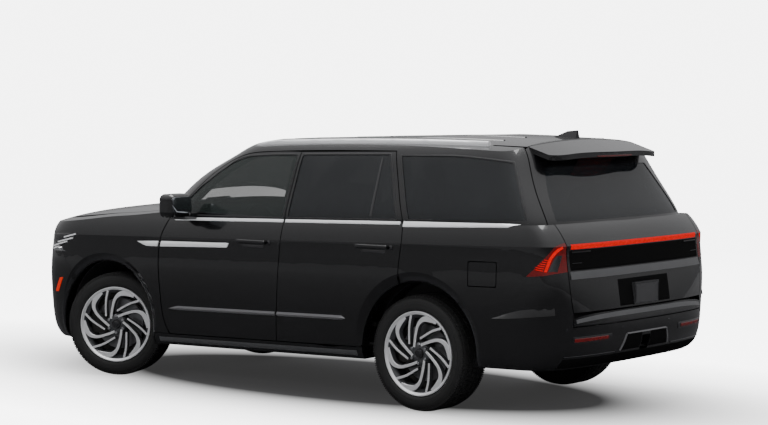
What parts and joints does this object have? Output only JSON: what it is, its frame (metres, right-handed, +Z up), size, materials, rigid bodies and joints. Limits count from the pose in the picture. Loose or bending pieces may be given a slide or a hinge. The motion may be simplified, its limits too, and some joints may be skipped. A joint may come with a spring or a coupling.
{
  "type": "sport utility vehicle",
  "caption": "Full-size luxury sport utility vehicle in gloss black with bright side trim, swirl-spoke alloy wheels, opening doors and split tailgate, steered front wheels.",
  "frame": {"origin": "on the ground, under the middle of the length and of the width", "axes": "+X forward, +Y to the left, +Z up"},
  "size_m": [5.3206, 2.5212, 1.9495],
  "materials": {
    "body_paint": "gloss",
    "trim_black": "matte",
    "bright_trim": "satin",
    "plate_metal": "satin",
    "glass_dark": "gloss",
    "lamp_lens": "gloss",
    "tyre_rubber": "matte",
    "wheel_alloy": "satin",
    "frame_black": "satin",
    "suspension_iron": "matte",
    "exhaust_steel": "satin",
    "seat_leather": "satin"
  },
  "bodies": {
    "body": {"body_sides": "body_paint", "roof_sides": "body_paint", "roof_panel": "body_paint", "front_fenders": "body_paint", "front_bumper": "body_paint", "rear_bumper": "body_paint", "cowl": "trim_black", "wheel_liners": "trim_black", "antenna": "trim_black", "dashboard": "trim_black", "floor_pan": "trim_black", "fuel_tank": "trim_black", "roof_rails": "bright_trim", "grille": "bright_trim", "windscreen": "glass_dark", "quarter_glass": "glass_dark", "headlamps": "lamp_lens", "tail_lamps": "lamp_lens", "chassis_frame": "frame_black", "engine": "frame_black", "front_suspension": "suspension_iron", "rear_suspension": "suspension_iron", "exhaust": "exhaust_steel", "front_seats": "seat_leather", "rear_seats": "seat_leather"},
    "hood": {"hood": "body_paint"},
    "door_front_left": {"door_front_left": "body_paint", "window_front_left": "glass_dark", "mirror_left": "body_paint"},
    "door_front_right": {"door_front_right": "body_paint", "window_front_right": "glass_dark", "mirror_right": "body_paint"},
    "door_rear_left": {"door_rear_left": "body_paint", "window_rear_left": "glass_dark"},
    "door_rear_right": {"door_rear_right": "body_paint", "window_rear_right": "glass_dark"},
    "liftgate": {"liftgate": "body_paint", "rear_glass": "glass_dark", "light_bar": "lamp_lens", "number_plate": "plate_metal"},
    "tail_flap": {"tail_flap": "body_paint"},
    "fuel_door": {"fuel_door": "body_paint"},
    "knuckle_left": {"knuckle_left": "suspension_iron"},
    "knuckle_right": {"knuckle_right": "suspension_iron"},
    "steering_wheel": {"steering_wheel": "trim_black"},
    "wheel_front_left": {"wheel_front_left": "wheel_alloy", "tyre_front_left": "tyre_rubber"},
    "wheel_front_right": {"wheel_front_right": "wheel_alloy", "tyre_front_right": "tyre_rubber"},
    "wheel_rear_left": {"wheel_rear_left": "wheel_alloy", "tyre_rear_left": "tyre_rubber"},
    "wheel_rear_right": {"wheel_rear_right": "wheel_alloy", "tyre_rear_right": "tyre_rubber"}
  },
  "joints": [
    {"name": "hood_hinge", "type": "hinge", "parent": "body", "child": "hood", "pos_m": [1.172, 0, 1.375], "axis": [0, -1, 0], "range_deg": [0, 50]},
    {"name": "door_front_left_hinge", "type": "hinge", "parent": "body", "child": "door_front_left", "pos_m": [1.104, 1.016, 0.8], "axis": [0, 0, -1], "range_deg": [0, 68]},
    {"name": "door_front_right_hinge", "type": "hinge", "parent": "body", "child": "door_front_right", "pos_m": [1.104, -1.016, 0.8], "axis": [0, 0, 1], "range_deg": [0, 68]},
    {"name": "door_rear_left_hinge", "type": "hinge", "parent": "body", "child": "door_rear_left", "pos_m": [-0.098, 1.016, 0.8], "axis": [0, 0, -1], "range_deg": [0, 70]},
    {"name": "door_rear_right_hinge", "type": "hinge", "parent": "body", "child": "door_rear_right", "pos_m": [-0.098, -1.016, 0.8], "axis": [0, 0, 1], "range_deg": [0, 70]},
    {"name": "liftgate_hinge", "type": "hinge", "parent": "body", "child": "liftgate", "pos_m": [-2.124, 0, 1.893], "axis": [0, 1, 0], "range_deg": [0, 85]},
    {"name": "tail_flap_hinge", "type": "hinge", "parent": "body", "child": "tail_flap", "pos_m": [-2.6595, 0, 0.656], "axis": [0, -1, 0], "range_deg": [0, 90]},
    {"name": "fuel_door_hinge", "type": "hinge", "parent": "body", "child": "fuel_door", "pos_m": [-1.864, 1.016, 0.98], "axis": [0, 0, -1], "range_deg": [0, 85]},
    {"name": "steer_left", "type": "hinge", "parent": "body", "child": "knuckle_left", "pos_m": [1.701, 0.82, 0.4075], "axis": [0, 0, 1], "range_deg": [-58.2, 11.8]},
    {"name": "steer_right", "type": "hinge", "parent": "body", "child": "knuckle_right", "pos_m": [1.701, -0.82, 0.4075], "axis": [0, 0, 1], "range_deg": [-58.2, 11.8]},
    {"name": "steering_wheel_turn", "type": "hinge", "parent": "body", "child": "steering_wheel", "pos_m": [0.5759, 0.3957, 1.182], "axis": [-0.9136, 0, 0.4067], "range_deg": [-814.8, 165.2]},
    {"name": "spin_front_left", "type": "hinge", "parent": "knuckle_left", "child": "wheel_front_left", "pos_m": [1.688, 0.8503, 0.4075], "axis": [-0.3939, 0.9191, 0], "continuous": true},
    {"name": "spin_front_right", "type": "hinge", "parent": "knuckle_right", "child": "wheel_front_right", "pos_m": [1.714, -0.8503, 0.4075], "axis": [-0.3939, 0.9191, 0], "continuous": true},
    {"name": "spin_rear_left", "type": "hinge", "parent": "body", "child": "wheel_rear_left", "pos_m": [-1.41, 0.853, 0.4075], "axis": [0, 1, 0], "continuous": true},
    {"name": "spin_rear_right", "type": "hinge", "parent": "body", "child": "wheel_rear_right", "pos_m": [-1.41, -0.853, 0.4075], "axis": [0, 1, 0], "continuous": true}
  ],
  "couplings": [
    {"joint": "steer_right", "follows": "steer_left", "ratio": 1},
    {"joint": "steering_wheel_turn", "follows": "steer_left", "ratio": 14}
  ]
}
